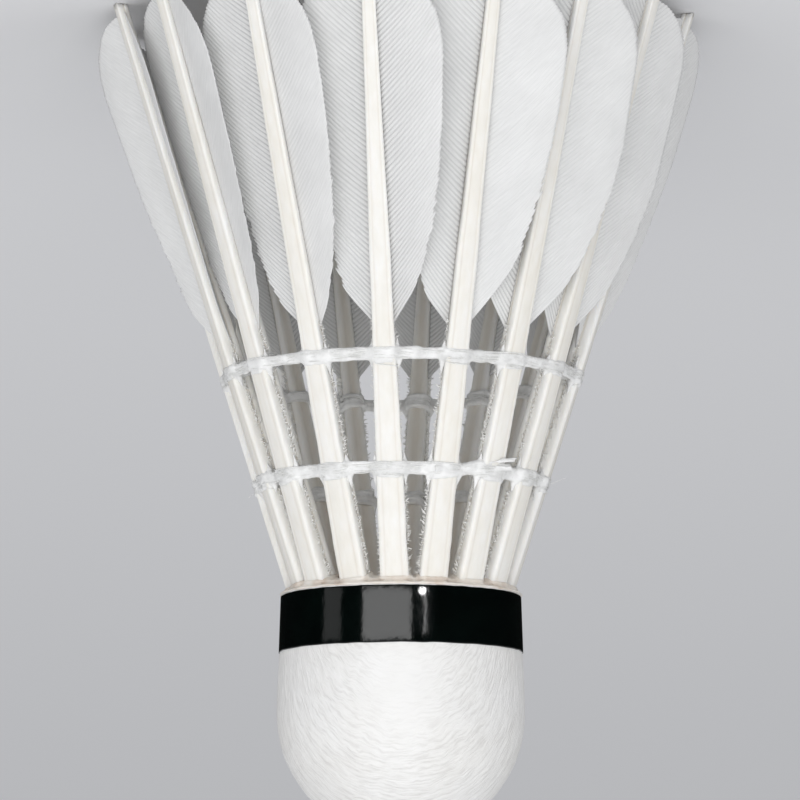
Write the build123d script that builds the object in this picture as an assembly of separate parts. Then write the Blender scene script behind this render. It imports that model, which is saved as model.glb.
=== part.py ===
from build123d import *
import math
import os

# A feather shuttlecock standing on its feather tips, cork uppermost.
# Millimetres. +Z runs from the plane of the feather tips up to the nose of the cork.

# Skirt: sixteen shafts on a cone
FEATHER_COUNT = 16
FIRST_AZIMUTH = 4.3            # degrees from +X to feather 1, seen from the cork end
SKIRT_HEIGHT = 61.3            # tip plane to the top plane of the cork
ROOT_RADIUS = 10.3             # shaft centre line where it enters the cork
TIP_RADIUS = 30.6              # shaft centre line at the tip plane

# No two feathers are set alike: degrees off even spacing at the root, the same at the tip,
# and the width of the outer half vane over its outline below
FEATHER_SETS = (
    (0.0, 6.5, 1.0), (-0.5, 1.5, 1.02), (0.5, 2.5, 0.97), (1.0, 1.0, 1.05),
    (-1.0, 3.0, 1.0), (0.5, 2.0, 0.96), (0.0, 1.0, 1.03), (1.0, 3.0, 1.0),
    (0.5, 3.5, 1.0), (3.5, 4.5, 1.04), (2.5, 3.0, 1.05), (2.0, 0.0, 1.10),
    (-1.8, 2.0, 1.0), (-2.5, 3.5, 0.96), (0.0, 4.5, 0.95), (-4.0, 2.0, 1.0),
)

# Shaft: a tapering bar, wider on the face that looks outwards
ROOT_WIDTH = 3.15
ROOT_DEPTH = 2.6
TIP_WIDTH = 1.35
TIP_DEPTH = 1.2
BACK_WIDTH_RATIO = 0.74        # width of the inward face over the outward face
SHAFT_ROUNDING = 0.22          # corner radius over the width
PEG_LENGTH = 8.6               # quill end buried in the cork
PEG_ROOT_RADIUS = 1.2
PEG_END_RADIUS = 0.85
PEG_START = 1.0                # the round quill begins this far inside the bar's end
BAR_OVERRUN = 2.0              # the bar is lofted past both its cuts by this much
GLUE_GAP = 0.05                # radial glue gap in the cork sockets
SOCKET_CLEARANCE = 0.3         # socket depth beyond the quill's end

# Vanes: thin curved sheets on both sides of the shaft
VANE_THICKNESS = 0.3
VANE_INSET = 0.3               # how far the vane root lies behind the shaft's centre line
OUTER_VANE_TILT = 14.0         # the outer half lifts away from the skirt
INNER_VANE_TILT = -7.0         # the inner half stays tucked under its neighbour
# Feathers whose halves are set at another angle. Between feathers 16 and 1 the overlap
# runs the other way round: the inner half of 16 lies over the outer half of 1.
OUTER_VANE_TILTS = {1: -7.0, 9: 20.0}
INNER_VANE_TILTS = {1: -20.0, 16: 20.0}
VANE_CAMBER = 0.35             # rise of the middle of a half vane over its chord
VANE_REACH = 10.0              # length of the blank that the outline is cut from
# Half-vane outline: distance along the shaft from the tip, width
OUTER_VANE_OUTLINE = (
    (1.0, 0.3), (2.2, 4.2), (5.2, 6.6), (11.0, 7.3),
    (19.0, 6.8), (27.0, 5.6), (33.8, 3.4), (38.2, 0.7),
)
# Some outer halves are fullest further up
FULL_VANE_OUTLINE = (
    (1.0, 0.3), (2.2, 4.2), (5.2, 6.6), (12.0, 7.5),
    (19.0, 7.8), (25.0, 6.8), (31.5, 4.8), (38.2, 0.7),
)
FULL_FEATHERS = (10, 11)
INNER_VANE_OUTLINE = (
    (1.0, 0.3), (2.1, 4.6), (5.0, 7.0), (11.0, 7.4),
    (19.0, 6.9), (27.0, 5.6), (31.5, 4.7), (38.2, 0.8),
)

# Thread bindings: distance below the cork's top plane, measured towards the tips
BINDING_DROPS = {"thread_binding_near_cork": 11.6, "thread_binding_near_vanes": 22.8}
BINDING_HEIGHT = 1.4
BINDING_WRAP = 0.45            # thickness of thread around each shaft
BINDING_CORD_RADIUS = 0.62     # bundle of thread that crosses from shaft to shaft
BINDING_CORD_OFFSET = 0.35     # bundle's centre outside the shafts' centre lines

# Base
RIM_RADIUS = 12.48             # leather at the rim
BAND_END_RADIUS = 12.67        # leather under the lower end of the colour band
BASE_RADIUS = 12.9             # widest circle of the base, start of the round nose
BAND_HEIGHT = 6.05
BAND_THICKNESS = 0.12
SHOULDER_HEIGHT = 12.4         # rim to widest circle
LEATHER_THICKNESS = 0.4
SOCKET_DISC_HEIGHT = 9.8       # upper cork layer that holds the quills
GLUE_HEIGHT = 0.95
GLUE_INNER_RADIUS = 8.5
GLUE_OUTER_RADIUS = 12.25
GLUE_RIM_SLOPE = 0.1           # the collar's side leans in by this much over half its height
GLUE_EDGE_BEVEL = 0.5          # and by this much over the rest

FAR = 200.0                    # larger than the whole object


def shaft_plane(index):
    """Plane at a feather's tip: Z runs up the shaft to the root, X looks outwards."""
    root_turn, tip_turn, _ = FEATHER_SETS[index]
    even = FIRST_AZIMUTH + index * 360.0 / FEATHER_COUNT
    root_angle = math.radians(even + root_turn)
    tip_angle = math.radians(even + tip_turn)
    root = Vector(ROOT_RADIUS * math.cos(root_angle), ROOT_RADIUS * math.sin(root_angle), SKIRT_HEIGHT)
    tip = Vector(TIP_RADIUS * math.cos(tip_angle), TIP_RADIUS * math.sin(tip_angle), 0)
    along = (root - tip).normalized()
    outwards = Vector(math.cos(tip_angle), math.sin(tip_angle), 0)
    outwards = (outwards - along * outwards.dot(along)).normalized()
    return Plane(origin=tip, x_dir=outwards, z_dir=along), (root - tip).length


def shaft_section(width, depth):
    """Rounded trapezium across a shaft; +X is the wide outward face."""
    back = width * BACK_WIDTH_RATIO
    corners = (
        (depth / 2, -width / 2),
        (depth / 2, width / 2),
        (-depth / 2, back / 2),
        (-depth / 2, -back / 2),
    )
    trapezium = Polygon(*corners, align=None)
    return fillet(trapezium.vertices(), width * SHAFT_ROUNDING)


def shaft_width(share):
    """Width of the shaft at a share of its length, 0 at the tip and 1 at the root."""
    return TIP_WIDTH + (ROOT_WIDTH - TIP_WIDTH) * share


def shaft_depth(share):
    return TIP_DEPTH + (ROOT_DEPTH - TIP_DEPTH) * share


def between_planes(solid, low, high):
    """The part of a solid between two horizontal planes."""
    slab = Pos(0, 0, (low + high) / 2) * Box(FAR, FAR, high - low)
    return solid & slab


def shaft_bar(index):
    """The shaft outside the cork, cut flat at the tip plane and at the cork."""
    plane, length = shaft_plane(index)
    shares = (-BAR_OVERRUN / length, 1 + BAR_OVERRUN / length)
    sections = [
        plane * Pos(0, 0, share * length) * shaft_section(shaft_width(share), shaft_depth(share))
        for share in shares
    ]
    bar = loft(sections, ruled=True)
    return between_planes(bar, 0, SKIRT_HEIGHT)


def quill_cone(index, gap, extra):
    """The round quill end in the cork, or with a gap and extra depth its socket."""
    plane, length = shaft_plane(index)
    height = PEG_LENGTH + PEG_START + extra
    base = (Align.CENTER, Align.CENTER, Align.MIN)
    cone = Cone(PEG_ROOT_RADIUS + gap, PEG_END_RADIUS + gap, height, align=base)
    return plane * Pos(0, 0, length - PEG_START) * cone


def make_shaft(index):
    return shaft_bar(index) + quill_cone(index, 0, 0)


def vane_blank(tilt, side):
    """A long curved sheet on one side of the shaft, before its outline is cut."""
    lean = math.radians(tilt)
    direction = (math.sin(lean), side * math.cos(lean))
    normal = (math.cos(lean), -side * math.sin(lean))

    def at(reach, lift):
        x = -VANE_INSET + direction[0] * reach + normal[0] * lift
        y = direction[1] * reach + normal[1] * lift
        return (x, y)

    half = VANE_THICKNESS / 2
    front = ThreePointArc(at(0, half), at(VANE_REACH / 2, half + VANE_CAMBER), at(VANE_REACH, half))
    back = ThreePointArc(at(VANE_REACH, -half), at(VANE_REACH / 2, VANE_CAMBER - half), at(0, -half))
    ends = [Line(front @ 1, back @ 0), Line(back @ 1, front @ 0)]
    return extrude(make_face([front, back] + ends), amount=SKIRT_HEIGHT)


def vane_outline(outline, side, width_factor):
    """The shape of a half vane seen from outside, as a thick slab."""
    points = [(side * width * width_factor, along) for along, width in outline]
    edge = Spline(*points)
    root_line = [Line(points[-1], (0, points[-1][1])), Line((0, points[-1][1]), (0, points[0][1]))]
    root_line.append(Line((0, points[0][1]), points[0]))
    face = make_face([edge] + root_line)
    return extrude(Plane.YZ * face, amount=VANE_REACH, both=True)


def make_vane(index, outline, tilt, side, width_factor):
    plane, _ = shaft_plane(index)
    sheet = vane_blank(tilt, side) & vane_outline(outline, side, width_factor)
    return plane * sheet - shaft_bar(index)


def make_outer_vane(index):
    number = index + 1
    full = number in FULL_FEATHERS
    outline = FULL_VANE_OUTLINE if full else OUTER_VANE_OUTLINE
    width_factor = FEATHER_SETS[index][2]
    tilt = OUTER_VANE_TILTS.get(number, OUTER_VANE_TILT)
    return make_vane(index, outline, tilt, -1, width_factor)


def make_inner_vane(index):
    tilt = INNER_VANE_TILTS.get(index + 1, INNER_VANE_TILT)
    return make_vane(index, INNER_VANE_OUTLINE, tilt, 1, 1.0)


def make_binding(drop, shafts):
    """One ring of thread: a wrap around every shaft and a bundle from each shaft to the next."""
    height = SKIRT_HEIGHT - drop
    share = height / SKIRT_HEIGHT
    radius = TIP_RADIUS + (ROOT_RADIUS - TIP_RADIUS) * share + BINDING_CORD_OFFSET
    ring = Pos(0, 0, height) * Torus(radius, BINDING_CORD_RADIUS)
    width = shaft_width(share) + 2 * BINDING_WRAP
    depth = shaft_depth(share) + 2 * BINDING_WRAP
    for index in range(FEATHER_COUNT):
        plane, length = shaft_plane(index)
        wrap = extrude(shaft_section(width, depth), amount=BINDING_HEIGHT / 2, both=True)
        ring += plane * Pos(0, 0, length * share) * wrap
    for shaft in shafts:
        ring -= shaft
    return ring


def base_solid(inset):
    """The whole base turned about Z, with its outside moved in by an inset."""
    top = SKIRT_HEIGHT
    shoulder = top + SHOULDER_HEIGHT
    rim = (RIM_RADIUS - inset, top)
    band_end = (BAND_END_RADIUS - inset, top + BAND_HEIGHT)
    widest = (BASE_RADIUS - inset, shoulder)
    # The waist's curve meets the widest circle upright, so it is half way up at a quarter of the swell
    quarter_swell = (BASE_RADIUS - BAND_END_RADIUS) / 4
    mid_swell = (BASE_RADIUS - inset - quarter_swell, shoulder - (SHOULDER_HEIGHT - BAND_HEIGHT) / 2)
    nose_radius = BASE_RADIUS - inset
    nose = (0, shoulder + nose_radius)
    nose_mid = (nose_radius * math.cos(math.pi / 4), shoulder + nose_radius * math.sin(math.pi / 4))
    outline = [
        Line((0, top), rim),
        Line(rim, band_end),
        ThreePointArc(band_end, mid_swell, widest),
        ThreePointArc(widest, nose_mid, nose),
        Line(nose, (0, top)),
    ]
    return revolve(Plane.XZ * make_face(outline), Axis.Z)


def make_colour_band():
    corners = (
        (RIM_RADIUS, SKIRT_HEIGHT),
        (RIM_RADIUS + BAND_THICKNESS, SKIRT_HEIGHT),
        (BAND_END_RADIUS + BAND_THICKNESS, SKIRT_HEIGHT + BAND_HEIGHT),
        (BAND_END_RADIUS, SKIRT_HEIGHT + BAND_HEIGHT),
    )
    return revolve(Plane.XZ * Polygon(*corners, align=None), Axis.Z)


def make_glue_collar(shafts):
    """Resin around the shaft feet, highest against the shafts and thin at the rim."""
    low = SKIRT_HEIGHT - GLUE_HEIGHT
    corners = (
        (GLUE_INNER_RADIUS, SKIRT_HEIGHT),
        (GLUE_OUTER_RADIUS, SKIRT_HEIGHT),
        (GLUE_OUTER_RADIUS - GLUE_RIM_SLOPE, SKIRT_HEIGHT - GLUE_HEIGHT / 2),
        (GLUE_OUTER_RADIUS - GLUE_RIM_SLOPE - GLUE_EDGE_BEVEL, low),
        (GLUE_INNER_RADIUS + GLUE_EDGE_BEVEL, low),
    )
    collar = revolve(Plane.XZ * Polygon(*corners, align=None), Axis.Z)
    for shaft in shafts:
        collar -= shaft
    return collar


def build():
    nodes = {}
    shafts = [make_shaft(index) for index in range(FEATHER_COUNT)]
    for index, shaft in enumerate(shafts):
        name = f"feather_{index + 1:02d}"
        nodes[f"{name}_shaft"] = shaft
        nodes[f"{name}_outer_vane"] = make_outer_vane(index)
        nodes[f"{name}_inner_vane"] = make_inner_vane(index)
    for name, drop in BINDING_DROPS.items():
        nodes[name] = make_binding(drop, shafts)
    nodes["glue_collar"] = make_glue_collar(shafts)

    cork = base_solid(LEATHER_THICKNESS)
    seam = SKIRT_HEIGHT + SOCKET_DISC_HEIGHT
    socket_disc = between_planes(cork, 0, seam)
    for index in range(FEATHER_COUNT):
        socket_disc -= quill_cone(index, GLUE_GAP, SOCKET_CLEARANCE)
    nodes["cork_socket_disc"] = socket_disc
    nodes["cork_nose"] = between_planes(cork, seam, FAR)
    nodes["leather_cover"] = base_solid(0) - cork
    nodes["colour_band"] = make_colour_band()
    return nodes


os.makedirs("parts", exist_ok=True)
for node_name, node_shape in build().items():
    export_step(node_shape, f"parts/{node_name}.step")
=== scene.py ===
import math

import bpy
import numpy as np
from mathutils import Matrix, Vector


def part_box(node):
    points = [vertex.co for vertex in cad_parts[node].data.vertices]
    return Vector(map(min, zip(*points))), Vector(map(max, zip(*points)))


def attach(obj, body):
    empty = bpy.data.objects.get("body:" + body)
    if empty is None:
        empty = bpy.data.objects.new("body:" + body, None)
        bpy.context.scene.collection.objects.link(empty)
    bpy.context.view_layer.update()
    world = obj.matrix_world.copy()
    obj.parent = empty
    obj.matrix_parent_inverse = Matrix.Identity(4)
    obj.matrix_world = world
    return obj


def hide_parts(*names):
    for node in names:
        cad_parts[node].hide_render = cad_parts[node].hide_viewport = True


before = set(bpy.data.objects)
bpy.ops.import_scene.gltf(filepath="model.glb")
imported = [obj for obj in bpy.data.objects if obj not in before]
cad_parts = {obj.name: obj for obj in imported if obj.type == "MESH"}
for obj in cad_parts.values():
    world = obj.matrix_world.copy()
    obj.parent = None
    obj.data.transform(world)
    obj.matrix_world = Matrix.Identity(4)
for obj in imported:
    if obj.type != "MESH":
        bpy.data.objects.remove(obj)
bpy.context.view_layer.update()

# Lengths here are in millimetres; meshes are written in metres.
MM = 0.001
TAU = 2 * math.pi

FEATHERS = 16

# Skirt, read from the frame
RIM_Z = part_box("colour_band")[0].z / MM            # plane where the quills enter the cork
BAND_TOP_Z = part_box("colour_band")[1].z / MM
NOSE_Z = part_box("cork_nose")[1].z / MM

# Shaft section, the same taper as the frame's
TIP_WIDTH, ROOT_WIDTH = 1.35, 3.15
TIP_DEPTH, ROOT_DEPTH = 1.2, 2.6
BACK_WIDTH_RATIO = 0.74
PEG_LENGTH = 8.4
PEG_RADII = (1.18, 0.84)
SHAFT_BOW = 0.12                                    # the middle of a shaft stands out by this much
NECK_LENGTH, NECK_SQUEEZE = 0.9, 0.16               # a root narrows by this share just above the cork

# Vanes
VANE_INSET = 0.3                                    # behind the shaft's centre line
CAMBER = 0.35                                       # rise of the middle over a chord of the blank's length
CAMBER_REACH = 10.0
BARB_PITCH = 0.56                                   # along the shaft
BARB_STATIONS = 24
WEB_THICKNESS = 0.07
LONGEST_BARB, BARB_STEPS = 15.0, 301
RAGGED_FROM, RAGGED_OVER = 0.60, 0.3                # where the ends turn ragged, as shares of a vane's length
# Rows across one barb, from one groove to the next
BARB_ROWS = np.array([0.0, 0.18, 0.40, 0.62, 0.84])
# Angle of the barbs off the shaft, in degrees, at their roots and at their ends
OUTER_BARB_ANGLES, INNER_BARB_ANGLES = (48, 38), (54, 42)
# How strongly the barbs stand out and how dark their painted groove shade is, and the feathers whose barbs
# differ from the usual
USUAL_OUTER_RELIEF, USUAL_INNER_RELIEF = 0.5, 0.75
OUTER_RELIEF = {11: 0.35, 12: 0.25, 13: 0.85, 14: 0.22, 15: 0.18, 16: 0.2}
INNER_RELIEF = {13: 0.9, 14: 1.0, 15: 0.6, 16: 0.25}

# Bare part of a shaft, measured from its tip
ROUGH_FROM, STUBS_FROM, STUBS_SHORT_OF_ROOT = 33.0, 37.0, 1.0
STUBS_PER_MM = 13
STUB_RADII, STUB_REACHES = (0.035, 0.08), (0.08, 0.55)

# Bindings: where the strands lie either side of the middle height, and their radii
RING_OFFSETS, RING_RADIUS = (-0.34, 0.0, 0.34), 0.30
TURN_OFFSETS, TURN_RADII = (-0.52, -0.02, 0.48), (0.27, 0.37)
STRAY_FEATHERS, STRAYS = (12, 11), 6                # slack thread near the cork, from one shaft to the next
FILAMENTS, FILAMENT_RADII, FILAMENT_LIFT = 6, (0.045, 0.07), 0.24
TURNS_OF_FILAMENT, LOOSE_ENDS = 3, 16

# Base
RIM_RADIUS, BAND_END_RADIUS, BASE_RADIUS = 12.48, 12.67, 12.9
SHOULDER_Z = NOSE_Z + 0.4 - BASE_RADIUS
BAND_THICKNESS = 0.12
LEATHER_THICKNESS = 0.4
RIM_LIP = 0.05                                      # half the leather's cut edge, pressed outwards
HIDE_SPAN = 40.0                                    # scales places on the flat hide to fit a colour

# Camera: above the base and looking down by a few degrees, with the picture turned upside down
CAMERA_DISTANCE = 490.5
CAMERA_ABOVE_RIM = 51.9
CAMERA_PITCH = math.radians(8.42)
CAMERA_LENS = 212.0
CAMERA_SIDE = 0.1

FLOOR_HALF = 30.0                                   # metres
# Light panels: name, azimuth, distance, height, height aimed at, (width, height), power, use
LIGHTS = (
    ("front_softbox", -5, 900, 400, 45, (900, 700), 4.3, "fill"),
    ("left_softbox", -40, 850, 320, 45, (300, 600), 0.6, "fill"),
    ("right_softbox", 48, 850, 320, 45, (400, 600), 0.7, "fill"),
    ("band_panel", -13, 250, 24, 62, (205, 62), 0.13, "gloss"),
    ("band_panel_dim", -67, 250, 24, 62, (85, 56), 0.009, "gloss"),
    ("band_spark", 20, 150, 27, 62, (13, 5), 0.02, "gloss"),
    ("band_spark_tail", 22, 150, 38, 62, (3, 26), 0.0022, "gloss"),
)


# ---------------------------------------------------------------- helpers

def lattice_noise(points, cell, seed):
    """Smooth noise in -1..1 at an array of points; cell is its grain size, one number or three."""
    p = points / np.asarray(cell, float)
    base = np.floor(p).astype(np.int64)
    f = p - base
    f = f * f * (3 - 2 * f)
    total = np.zeros(len(p))
    for corner in np.ndindex(2, 2, 2):
        c = np.array(corner)
        ijk = base + c
        h = ijk[:, 0] * 73856093 ^ ijk[:, 1] * 19349663 ^ ijk[:, 2] * 83492791 ^ (seed * 2654435761)
        h = (h ^ (h >> 13)) * 1274126177 & 0xFFFFFFF
        h = (h ^ (h >> 11)) & 0xFFFFF
        weight = np.prod(np.where(c == 1, f, 1 - f), axis=1)
        total += weight * (h / 0xFFFFF * 2 - 1)
    return total


def rising(value, start, span):
    """0 up to start, then rising evenly to 1 over span."""
    return np.clip((value - start) / span, 0, 1)


def line_noise(places, cell, seed):
    """Smooth noise in -1..1 along a line."""
    return lattice_noise(np.stack([places, places * 0, places * 0], 1), cell, seed)


def put(name, data):
    """Puts a mesh, light or camera in the scene as a new object."""
    thing = bpy.data.objects.new(name, data)
    bpy.context.collection.objects.link(thing)
    return thing


def add_piece(name, points, quads, material, replaces=(), polygons=(), tone=None):
    """A smooth mesh from points in millimetres, riding on the body, in one material.

    tone gives each point up to three numbers, which the material reads as red, green and blue.
    """
    mesh = bpy.data.meshes.new(name)
    quads = np.asarray(quads, np.int64).reshape(-1, 4)
    corners = np.concatenate([quads.ravel()] + [np.asarray(p, np.int64) for p in polygons])
    sizes = np.concatenate([np.full(len(quads), 4), [len(p) for p in polygons]]).astype(np.int64)
    starts = np.concatenate([[0], np.cumsum(sizes)[:-1]])
    mesh.vertices.add(len(points))
    mesh.vertices.foreach_set("co", (np.asarray(points) * MM).ravel())
    mesh.loops.add(len(corners))
    mesh.loops.foreach_set("vertex_index", corners)
    mesh.polygons.add(len(sizes))
    mesh.polygons.foreach_set("loop_start", starts)
    mesh.polygons.foreach_set("use_smooth", np.ones(len(sizes), bool))
    mesh.update(calc_edges=True)
    mesh.validate()
    if tone is not None:
        layer = mesh.color_attributes.new("tone", "FLOAT_COLOR", "POINT")
        rgba = np.ones((len(points), 4))
        rgba[:, :3] = tone
        layer.data.foreach_set("color", rgba.ravel())
    mesh.materials.append(material)
    finish_piece(put(name, mesh), replaces)


def finish_piece(piece, replaces):
    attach(piece, "root")
    if replaces:
        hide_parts(*replaces)


def ring_quads(rings, around, first=0, closed=False):
    """Quads between rings of points that each go once around, and round to the first ring if closed."""
    k = np.arange(rings if closed else rings - 1)[:, None]
    j = np.arange(around)[None, :]
    turn = (j + 1) % around
    low = k * around
    high = (k + 1) % rings * around
    return (np.stack([low + j, low + turn, high + turn, high + j], axis=-1) + first).reshape(-1, 4)


def end_polygons(rings, around):
    """Flat ends for an open loft."""
    last = (rings - 1) * around
    return [list(range(around - 1, -1, -1)), list(range(last, last + around))]


def tube(path, radii, sides, closed=False):
    """Round tube along a path in millimetres; radii is one number or one for each point."""
    path = np.asarray(path, float)
    n = len(path)
    radii = np.broadcast_to(np.asarray(radii, float), (n,))
    if closed:
        along = np.roll(path, -1, axis=0) - np.roll(path, 1, axis=0)
    else:
        along = np.gradient(path, axis=0)
    along /= np.linalg.norm(along, axis=1)[:, None]
    helper = np.array([0, 0, 1.0]) if np.abs(along[:, 2]).mean() < 0.7 else np.array([1.0, 0, 0])
    u = np.cross(along, helper)
    u /= np.linalg.norm(u, axis=1)[:, None]
    v = np.cross(along, u)
    angles = np.arange(sides) / sides * TAU
    ring = np.cos(angles)[None, :, None] * u[:, None, :] + np.sin(angles)[None, :, None] * v[:, None, :]
    points = (path[:, None, :] + ring * radii[:, None, None]).reshape(-1, 3)
    return points, ring_quads(n, sides, 0, closed), [] if closed else end_polygons(n, sides)


class MeshParts:
    """Gathers the points and faces of many small shapes into one mesh."""

    def __init__(self):
        self.points = []
        self.quads = []
        self.polygons = []
        self.count = 0

    def add(self, points, quads, polygons=()):
        self.points.append(np.asarray(points))
        self.quads.append(np.asarray(quads) + self.count)
        self.polygons.extend([i + self.count for i in p] for p in polygons)
        self.count += len(points)

    def tube(self, path, radii, sides, closed=False):
        self.add(*tube(path, radii, sides, closed))

    def all_points(self):
        return np.concatenate(self.points)

    def all_quads(self):
        return np.concatenate(self.quads)


def at_angle(radius, angle, z):
    return np.stack([radius * np.cos(angle), radius * np.sin(angle), z], -1)


# ---------------------------------------------------------------- feathers' places, from the frame

def node_points(name):
    """The corners of a node's mesh, in millimetres."""
    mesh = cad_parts[name].data
    co = np.empty(len(mesh.vertices) * 3)
    mesh.vertices.foreach_get("co", co)
    return co.reshape(-1, 3) / MM


def box_middle(points):
    return (points.min(0) + points.max(0)) / 2


class Feather:
    """One feather's place: its origin at the tip, X outwards, Y across, Z up the shaft to the root."""

    def __init__(self, number):
        self.number = number
        self.name = f"feather_{number:02d}"
        shaft = node_points(self.name + "_shaft")
        tip = box_middle(shaft[np.abs(shaft[:, 2]) < 0.01])
        root = box_middle(shaft[np.abs(shaft[:, 2] - RIM_Z) < 0.01])
        self.origin = tip
        self.length = float(np.linalg.norm(root - tip))
        self.along = (root - tip) / self.length
        outwards = np.array([tip[0], tip[1], 0.0])
        outwards -= self.along * (outwards @ self.along)
        self.out = outwards / np.linalg.norm(outwards)
        self.across = np.cross(self.along, self.out)
        self.rng = np.random.default_rng(100 + number)

    def local(self, points):
        """Points of the frame in the feather's own axes."""
        offset = points - self.origin
        return np.stack([offset @ self.out, offset @ self.across, offset @ self.along], 1)

    def place(self, local):
        """Points in the feather's own axes, brought into the frame."""
        local = np.asarray(local)
        return (self.origin + local[..., 0:1] * self.out + local[..., 1:2] * self.across
                + local[..., 2:3] * self.along)


def shaft_width(share):
    """Width of a shaft at a share of the way from its tip to the cork."""
    return TIP_WIDTH + (ROOT_WIDTH - TIP_WIDTH) * share


def shaft_depth(share):
    return TIP_DEPTH + (ROOT_DEPTH - TIP_DEPTH) * share


# ---------------------------------------------------------------- materials

def grey(level):
    return level, level, level


class Tree:
    """A node tree while it is put together; its methods add nodes and give their output sockets."""

    def __init__(self, owner):
        owner.use_nodes = True
        self.owner = owner
        self.nodes = owner.node_tree.nodes
        self.links = owner.node_tree.links

    def fill(self, socket, value):
        if isinstance(value, bpy.types.NodeSocket):
            self.links.new(value, socket)
        else:
            socket.default_value = value

    def add(self, kind, inputs, **settings):
        """A new node with its settings, each of its named inputs joined to a socket or set to a value."""
        node = self.nodes.new("ShaderNode" + kind)
        for name, value in settings.items():
            setattr(node, name, value)
        for name, value in inputs.items():
            self.fill(node.inputs[name], value)
        return node

    def feed(self, name, value):
        """Joins a socket to an input of the material's shader, or sets the input to a value."""
        self.fill(self.nodes["Principled BSDF"].inputs[name], value)

    def stretched(self, vector, scale, turn=0.0):
        inputs = {"Vector": vector, "Scale": scale, "Rotation": (0, 0, turn)}
        return self.add("Mapping", inputs).outputs["Vector"]

    def noise_on(self, vector, scale, detail, roughness=0.5):
        """Noise at a vector; gives all its outputs."""
        inputs = {"Vector": vector, "Scale": scale, "Detail": detail, "Roughness": roughness}
        return self.add("TexNoise", inputs).outputs

    def noise(self, scale, detail, stretch=(1, 1, 1)):
        """Noise in the frame's own metres, stretched along an axis if asked."""
        places = self.stretched(self.add("TexCoord", {}).outputs["Object"], stretch)
        return self.noise_on(places, scale, detail)["Fac"]

    def tone(self):
        """The tone stored at each point, whole and split into red, green and blue."""
        tone = self.add("VertexColor", {}, layer_name="tone").outputs["Color"]
        return tone, self.add("SeparateColor", {"Color": tone}).outputs

    def ramp(self, source, *stops):
        """A colour ramp from (position, colour) stops."""
        ramp = self.add("ValToRGB", {"Fac": source})
        elements = ramp.color_ramp.elements
        elements[0].position, elements[0].color = stops[0][0], (*stops[0][1], 1)
        elements[1].position, elements[1].color = stops[-1][0], (*stops[-1][1], 1)
        for position, colour in stops[1:-1]:
            extra = elements.new(position)
            extra.color = (*colour, 1)
        return ramp.outputs["Color"]

    def mix(self, factor, first, second, mode="MIX"):
        """Mixes two colours; the node's colour sockets are numbers 6 and 7, and 2 on the way out."""
        inputs = {0: factor, 6: first, 7: second}
        return self.add("Mix", inputs, data_type="RGBA", blend_type=mode).outputs[2]

    def multiplied(self, first, second):
        return self.mix(1.0, first, second, "MULTIPLY")

    def bump(self, source, strength, distance, normal=None):
        """Feeds a bump to the shader, on top of another bump's normal if one is given."""
        bump = self.add("Bump", {"Height": source, "Strength": strength, "Distance": distance})
        if normal is not None:
            self.links.new(normal, bump.inputs["Normal"])
        self.feed("Normal", bump.outputs["Normal"])
        return bump.outputs["Normal"]

    def patchy_roughness(self, scale, detail, low, high):
        level = self.add("MapRange", {"Value": self.noise(scale, detail), "To Min": low, "To Max": high})
        self.feed("Roughness", level.outputs["Result"])

    def waxy(self, weight, radius, scale):
        """Lets light a little way in under the surface."""
        self.feed("Subsurface Weight", weight)
        self.feed("Subsurface Radius", radius)
        self.feed("Subsurface Scale", scale)


def new_material(name):
    return Tree(bpy.data.materials.new(name))


def vane_material():
    """White barbs with painted shade, greyer in the grooves and at their roots by the shaft, and a painted
    highlight at their ends; fine fibres, letting light through.

    Red is painted light and shade: low in a groove and by the shaft, high on a ridge and at an end; green
    runs along the barb and blue across the barbs.
    """
    tree = new_material("feather_vane")
    _, part = tree.tone()
    # painted shade: grooves coloured grey, ridges white
    ridge = tree.ramp(part["Red"], (0.0, grey(0.50)), (0.45, (0.765, 0.765, 0.76)),
                      (1.0, (0.905, 0.905, 0.897)))
    vector = tree.add("CombineXYZ", {"X": part["Green"], "Y": part["Blue"]})
    slanted = tree.stretched(vector.outputs["Vector"], (5.0, 300.0, 1.0), 0.25)
    fibre = tree.noise_on(slanted, 1.0, 3)["Fac"]
    fibres = tree.ramp(fibre, (0.3, grey(0.90)), (0.62, grey(1.0)))
    patches = tree.ramp(tree.noise(220, 3), (0.3, grey(0.94)), (0.7, grey(1.0)))
    colour = tree.multiplied(tree.multiplied(ridge, fibres), patches)
    tree.feed("Base Color", colour)
    tree.feed("Roughness", 0.55)
    tree.feed("Sheen Weight", 0.12)
    tree.feed("Sheen Roughness", 0.4)
    tree.bump(fibre, 0.3, 0.00004)
    glow = tree.add("BsdfTranslucent", {"Color": colour}).outputs["BSDF"]
    surface = tree.nodes["Principled BSDF"].outputs["BSDF"]
    both = tree.add("MixShader", {0: 0.12, 1: surface, 2: glow})
    tree.fill(tree.nodes["Material Output"].inputs["Surface"], both.outputs["Shader"])
    return tree.owner


def shaft_material():
    """Quill with fine streaks along it: a cream face, with painted light making the flanks whiter and painted
    shade making its grooves beige.

    Red is the painted light and shade: 0 in a shaded groove, a half on the face and 1 on a lit flank.
    """
    tree = new_material("feather_shaft")
    _, part = tree.tone()
    # painted light and shade: beige shade in the grooves, white light on the flanks
    base = tree.ramp(part["Red"], (0.0, (0.77, 0.73, 0.67)), (0.5, (0.890, 0.878, 0.846)),
                     (1.0, (0.95, 0.95, 0.94)))
    streak = tree.noise(1500, 4, (1, 1, 0.045))
    streaks = tree.ramp(streak, (0.3, (0.95, 0.94, 0.915)), (0.5, (0.98, 0.972, 0.955)), (0.7, grey(1.0)))
    clouds = tree.ramp(tree.noise(150, 3, (1, 1, 0.4)), (0.35, (0.97, 0.96, 0.935)), (0.65, grey(1.0)))
    tree.feed("Base Color", tree.multiplied(tree.multiplied(base, streaks), clouds))
    tree.feed("Roughness", 0.42)
    tree.waxy(0.15, (1.0, 0.9, 0.75), 0.0006)
    tree.bump(streak, 0.4, 0.00007)
    return tree.owner


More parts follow.
